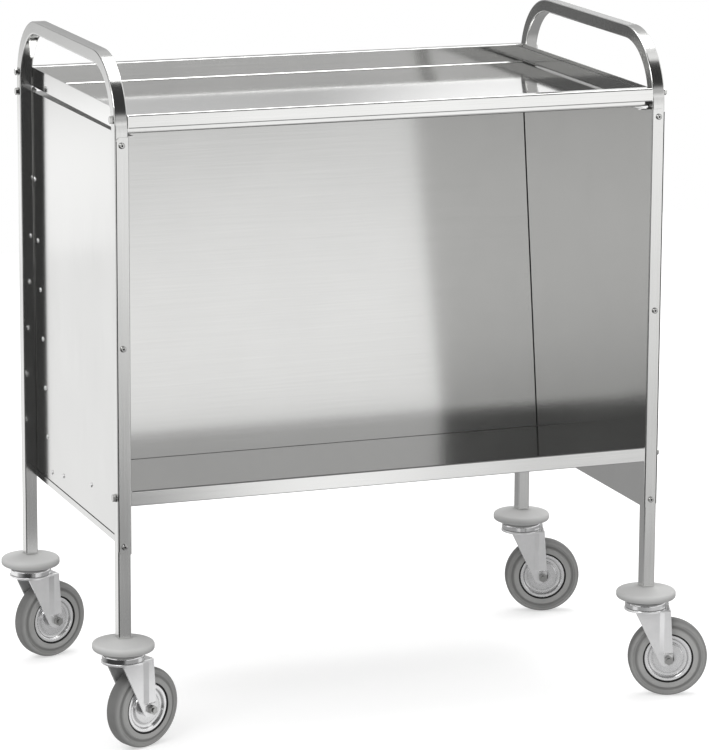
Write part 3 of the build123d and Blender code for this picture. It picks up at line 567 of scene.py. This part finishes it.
floor_paint = bpy.data.materials.new("floor_paint")
floor_paint.use_nodes = True
floor_shader = floor_paint.node_tree.nodes["Principled BSDF"]
floor_shader.inputs["Base Color"].default_value = (0.6, 0.6, 0.6, 1)
floor_shader.inputs["Roughness"].default_value = 0.9
floor_shader.inputs["Specular IOR Level"].default_value = 0.1
floor_shader.inputs["Emission Color"].default_value = (1, 1, 1, 1)
floor_shader.inputs["Emission Strength"].default_value = 0.5
front_right_zone = (0.58, (("X", 0.0, 0.7), ("Y", -0.1, -0.5)))
front_left_zone = (0.05, (("X", -0.42, -0.6), ("Y", 0.15, -0.15)))
rear_left_zone = (1.0, (("X", -0.4, -0.65), ("Y", 0.15, 0.4)))
under_front_zone = (0.8, (("X", -0.40, -0.30), ("X", 0.2, 0.1), ("Y", -0.1, -0.25), ("Y", -0.5, -0.4)))
floor_zones = (front_right_zone, front_left_zone, rear_left_zone, under_front_zone)
mirrored_floor(floor_paint, 0.36, floor_zones)
floor_reach, floor_front, floor_drop = 3.6, -1.3, -0.0002
floor_x, floor_y = np.meshgrid((-floor_reach, floor_reach), (floor_front, floor_reach))
floor_grid = np.stack([floor_x, floor_y, np.full_like(floor_x, floor_drop)], axis=-1)
surface("studio_floor", [floor_grid], floor_paint)

# Studio light.
# A pale surround that matt faces see as soft light from above, and that the camera sees as plain white.
# The steel mirrors darker and lighter bands of it, by direction. Two square soft lamps add light from above.


def surround(sectors, matt_profile):
    """World light by direction: sectors are what metal mirrors, matt_profile lights matt faces, the camera
    sees white. A sector is (azimuth, half width, soft edge, profile), in degrees, azimuth 0 being -Y and 90
    being +X. The first sector is everywhere. A profile lists (elevation in degrees, level)."""
    world = bpy.data.worlds.new("studio_surround")
    bpy.context.scene.world = world
    world.use_nodes = True
    nodes, links = world.node_tree.nodes, world.node_tree.links
    nodes.clear()
    place = nodes.new("ShaderNodeTexCoord")
    split = nodes.new("ShaderNodeSeparateXYZ")
    links.new(place.outputs["Generated"], split.inputs[0])
    rise = nodes.new("ShaderNodeMath")
    rise.operation = "ARCSINE"
    links.new(split.outputs["Z"], rise.inputs[0])
    rise_share = nodes.new("ShaderNodeMath")
    rise_share.operation = "MULTIPLY_ADD"
    rise_share.inputs[1].default_value = 1 / math.pi
    rise_share.inputs[2].default_value = 0.5
    links.new(rise.outputs[0], rise_share.inputs[0])
    flat = nodes.new("ShaderNodeVectorMath")
    flat.operation = "MULTIPLY"
    flat.inputs[1].default_value = (1, 1, 0)
    links.new(place.outputs["Generated"], flat.inputs[0])
    heading = nodes.new("ShaderNodeVectorMath")
    heading.operation = "NORMALIZE"
    links.new(flat.outputs["Vector"], heading.inputs[0])

    def light_of(profile):
        """Colour of a profile: a grey ramp over the share of the way up from -90 to 90 degrees."""
        ramp = colour_ramp(nodes, [(elevation / 180 + 0.5, (level,) * 3) for elevation, level in profile])
        links.new(rise_share.outputs[0], ramp.inputs["Fac"])
        return ramp.outputs["Color"]

    colour = light_of(sectors[0][3])
    for azimuth, half_width, soft, profile in sectors[1:]:
        turn = math.radians(azimuth)
        dot = nodes.new("ShaderNodeVectorMath")
        dot.operation = "DOT_PRODUCT"
        dot.inputs[1].default_value = (math.sin(turn), -math.cos(turn), 0)
        links.new(heading.outputs["Vector"], dot.inputs[0])
        fade = nodes.new("ShaderNodeMapRange")
        fade.interpolation_type = "SMOOTHSTEP"
        fade.inputs["From Min"].default_value = math.cos(math.radians(half_width + soft))
        fade.inputs["From Max"].default_value = math.cos(math.radians(half_width - soft))
        links.new(dot.outputs["Value"], fade.inputs["Value"])
        mix = nodes.new("ShaderNodeMix")
        mix.data_type = "RGBA"
        links.new(fade.outputs[0], mix.inputs["Factor"])
        links.new(colour, mix.inputs[6])
        links.new(light_of(profile), mix.inputs[7])
        colour = mix.outputs[2]
    mirrored = nodes.new("ShaderNodeBackground")
    mirrored.inputs["Strength"].default_value = 1.2
    links.new(colour, mirrored.inputs["Color"])
    even = nodes.new("ShaderNodeBackground")
    links.new(light_of(matt_profile), even.inputs["Color"])
    plain = nodes.new("ShaderNodeBackground")
    plain.inputs["Color"].default_value = (1, 1, 1, 1)
    path = nodes.new("ShaderNodeLightPath")
    matt = nodes.new("ShaderNodeMixShader")
    links.new(path.outputs["Is Diffuse Ray"], matt.inputs[0])
    links.new(mirrored.outputs[0], matt.inputs[1])
    links.new(even.outputs[0], matt.inputs[2])
    pick = nodes.new("ShaderNodeMixShader")
    links.new(path.outputs["Is Camera Ray"], pick.inputs[0])
    links.new(matt.outputs[0], pick.inputs[1])
    links.new(plain.outputs[0], pick.inputs[2])
    out = nodes.new("ShaderNodeOutputWorld")
    links.new(pick.outputs[0], out.inputs["Surface"])


ahead = [(0, 0.7), (1.6, 0.62), (2.6, 0.92), (4.2, 1.0), (5.6, 0.76), (7, 0.66), (8, 0.5), (10, 0.42)]
ahead += [(12, 0.46), (14, 0.55), (16, 0.36), (19, 0.06), (24, 0.04), (80, 0.04), (90, 0.1)]
front_right = [(-90, 0.6), (-14.5, 0.5), (-13.3, 0.62), (-12, 0.78), (-9, 1.0), (-6, 0.95)] + ahead
front_shelf = [(-90, 1.05), (-14.0, 1.05), (-13.3, 0.85), (-12, 0.8), (-9, 1.0), (-6, 0.95)] + ahead
front_middle = [(-90, 0.06), (-14.6, 0.06), (-14.1, 0.14), (-13.3, 0.42), (-12, 0.74), (-9.5, 0.92)]
front_middle += [(-6, 0.9)] + ahead
front_left = [(-90, 0.04), (1.2, 0.04), (2.0, 0.2), (2.6, 0.74), (3.2, 0.94), (4.2, 0.84), (5.5, 0.66)]
front_left += [(7.2, 0.62), (8.3, 0.3), (10, 0.15), (12, 0.06), (80, 0.04), (90, 0.1)]
rear = [(-90, 0.95), (-12, 0.85), (-9.6, 1.1), (-8.8, 1.05), (-8.1, 0.5), (0, 0.5), (7, 0.25), (8.2, 0.28)]
rear += [(9.2, 0.62), (11, 0.55), (13, 0.4), (40, 0.6), (60, 0.8), (75, 0.3), (90, 0.1)]
rear_right = [(-90, 0.95), (0, 0.5), (7, 0.3), (8.2, 0.4), (8.8, 1.3), (10.4, 1.3), (12, 0.4), (40, 0.5)]
rear_right += [(60, 0.8), (75, 0.3), (90, 0.1)]
rear_left = [(-90, 0.8), (-12, 0.45), (-9, 0.08), (10, 0.1), (20, 0.25), (45, 0.8), (90, 1.0)]
everywhere = [(-90, 0.5), (-20, 0.6), (0, 0.7), (15, 0.8), (60, 0.9), (75, 0.4), (90, 0.1)]
for_matt_faces = [(-90, 0.35), (-10, 0.42), (5, 0.68), (40, 1.0), (90, 1.3)]
surround(
    (
        (0, 180, 0, everywhere),
        (31.5, 14, 1, front_right),
        (19.4, 2.2, 0.3, front_shelf),
        (8.5, 9.7, 0.5, front_middle),
        (-26, 26, 5, front_left),
        (172, 28, 2, rear),
        (150, 9, 1.5, rear_right),
        (-140, 20, 2, rear_left),
    ),
    for_matt_faces,
)


def soft_lamp(name, place, size, power):
    """Square soft lamp at a place, turned to the middle of the trolley."""
    lamp = bpy.data.lights.new(name, "AREA")
    lamp.shape = "SQUARE"
    lamp.size = size
    lamp.energy = power
    lamp_object = bpy.data.objects.new(name, lamp)
    bpy.context.scene.collection.objects.link(lamp_object)
    lamp_object.location = place
    trolley_middle = Vector((0, 0, 0.5))
    lamp_object.rotation_euler = (Vector(place) - trolley_middle).to_track_quat("Z", "Y").to_euler()


soft_lamp("key_lamp", (-2.6, -2.2, 3.2), size=1.6, power=45)
soft_lamp("top_lamp", (0.6, 0.4, 3.4), size=2.0, power=50)

# Camera.
# It stands where the photograph was taken from, a little to the left of the trolley's front and above it.
# Azimuth, elevation and roll are in degrees, distances in metres, and the centre is the lens axis in pixels.
azimuth, elevation, roll = -21.0355, 12.215, 0.4264
distance, focal_pixels = 6.34669, 3999.158
aim = Vector((0.10945, 0.0, 0.54422))
centre_x, centre_y = 400.0, 340.0
frame_width, frame_height, film = 709, 750, 36.0
turn, rise, lean = math.radians(azimuth), math.radians(elevation), math.radians(roll)
back = Vector((math.sin(turn) * math.cos(rise), -math.cos(turn) * math.cos(rise), math.sin(rise)))
level_right = Vector((math.cos(turn), math.sin(turn), 0))
level_up = back.cross(level_right)
right = math.cos(lean) * level_right + math.sin(lean) * level_up
up = math.cos(lean) * level_up - math.sin(lean) * level_right
frame_longest = max(frame_width, frame_height)
lens = bpy.data.cameras.new("photo_camera")
lens.sensor_width = film
lens.lens = focal_pixels / frame_longest * film
lens.shift_x = -(centre_x - frame_width / 2) / frame_longest
lens.shift_y = -(frame_height / 2 - centre_y) / frame_longest
lens.clip_start, lens.clip_end = 0.1, 100
camera = bpy.data.objects.new("photo_camera", lens)
bpy.context.scene.collection.objects.link(camera)
turned = Matrix((right, up, back)).transposed().to_4x4()
camera.matrix_world = Matrix.Translation(aim + distance * back) @ turned
bpy.context.scene.camera = camera
bpy.context.scene.view_settings.view_transform = "Standard"
